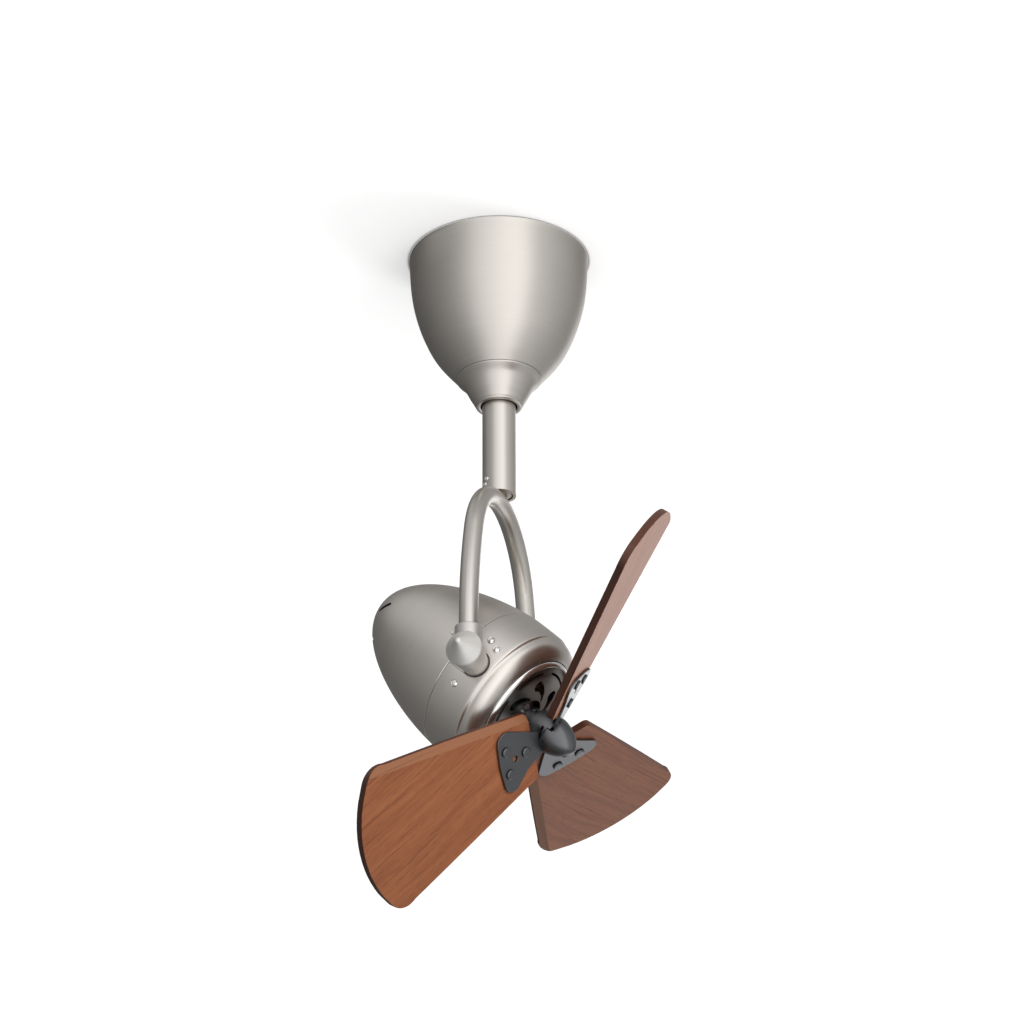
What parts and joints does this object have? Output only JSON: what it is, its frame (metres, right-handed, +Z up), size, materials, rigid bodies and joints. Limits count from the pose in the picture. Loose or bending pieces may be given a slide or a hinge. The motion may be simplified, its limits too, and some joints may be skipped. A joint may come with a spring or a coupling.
{
  "type": "ceiling fan",
  "caption": "Compact directional ceiling fan: brushed nickel canopy, stem and arched yoke carrying a tilting motor head with short wood blades.",
  "frame": {"origin": "centre of the two ceiling slots on the mounting bar's upper face, which is also the centre of the canopy's ceiling face", "axes": "+Z up towards the ceiling, X along the mounting bar and the head's tilt axis, -Y the way the fan blows at rest"},
  "size_m": [0.3451, 0.27, 0.5898],
  "materials": {
    "plated_steel": "satin zinc plated steel",
    "cast_zinc": "as-cast light alloy",
    "satin_nickel": "brushed nickel plate on steel",
    "satin_nickel_cast": "brushed nickel finish on cast alloy",
    "nickel_screw": "bright nickel plated",
    "polished_nickel": "polished nickel plate",
    "dark_pewter": "dark pewter satin",
    "charcoal_metal": "charcoal satin powder coat",
    "stained_wood": "mahogany stain under satin lacquer",
    "bronze": "plain machined",
    "white_nylon": "natural moulded",
    "black_polymer": "moulded black",
    "copper_winding": "varnished copper wire"
  },
  "bodies": {
    "ceiling_side": {"ceiling_bracket": "plated_steel", "bracket_pillars": "cast_zinc", "pillar_screws": "plated_steel", "drive_plate": "cast_zinc", "guide_tube": "cast_zinc", "stem_bushes": "white_nylon", "thrust_race_lower": "plated_steel", "thrust_balls": "plated_steel", "thrust_cage": "bronze", "swivel_motor": "plated_steel", "swivel_motor_screws": "cast_zinc", "stop_posts": "black_polymer", "run_capacitor": "black_polymer", "terminal_block": "white_nylon", "canopy": "satin_nickel", "canopy_collar": "satin_nickel_cast"},
    "pinion": {"drive_pinion": "bronze", "pinion_shaft": "plated_steel"},
    "swivel": {"thrust_race_upper": "plated_steel", "stem": "satin_nickel", "stem_collar": "cast_zinc", "stem_cross_pin": "plated_steel", "swivel_gear": "white_nylon", "gear_screws": "plated_steel", "stem_plug": "satin_nickel", "plug_screws": "nickel_screw", "yoke_nipple": "bronze", "yoke": "satin_nickel", "knuckle_left": "satin_nickel_cast", "knuckle_right": "satin_nickel_cast", "pivot_cap_left": "satin_nickel_cast", "pivot_cap_right": "satin_nickel_cast", "knuckle_screws": "nickel_screw", "friction_washers": "bronze"},
    "head": {"pivot_bolts": "plated_steel", "disc_springs": "plated_steel", "motor_carrier": "cast_zinc", "front_bracket": "cast_zinc", "rear_bracket": "cast_zinc", "motor_studs": "plated_steel", "stator_core": "plated_steel", "stator_windings": "copper_winding", "shaft_bushes": "bronze", "rear_shell": "satin_nickel_cast", "front_shell": "satin_nickel_cast", "shell_screws": "nickel_screw", "front_ring": "polished_nickel", "vent_plate": "dark_pewter"},
    "rotor": {"motor_shaft": "plated_steel", "shaft_collars": "bronze", "rotor_core": "plated_steel", "fan_hub": "charcoal_metal", "hub_screw": "plated_steel", "blade_irons": "charcoal_metal", "blade_1": "stained_wood", "blade_2": "stained_wood", "blade_3": "stained_wood", "blade_rivets": "charcoal_metal", "spinner": "charcoal_metal"}
  },
  "joints": [
    {"name": "swivel", "type": "hinge", "parent": "ceiling_side", "child": "swivel", "pos_m": [0, 0, -0.0345], "axis": [0, 0, 1], "range_deg": [-45, 45]},
    {"name": "pinion_spin", "type": "hinge", "parent": "ceiling_side", "child": "pinion", "pos_m": [0, 0.036, -0.025], "axis": [0, 0, 1], "range_deg": [-230, 230]},
    {"name": "head_tilt", "type": "hinge", "parent": "swivel", "child": "head", "pos_m": [0, 0, -0.4002], "axis": [1, 0, 0], "range_deg": [-42, 136]},
    {"name": "rotor_spin", "type": "hinge", "parent": "head", "child": "rotor", "pos_m": [0, 0, -0.4002], "axis": [0, -0.7337, -0.6794], "continuous": true}
  ],
  "couplings": [
    {"joint": "pinion_spin", "follows": "swivel", "ratio": -5}
  ]
}
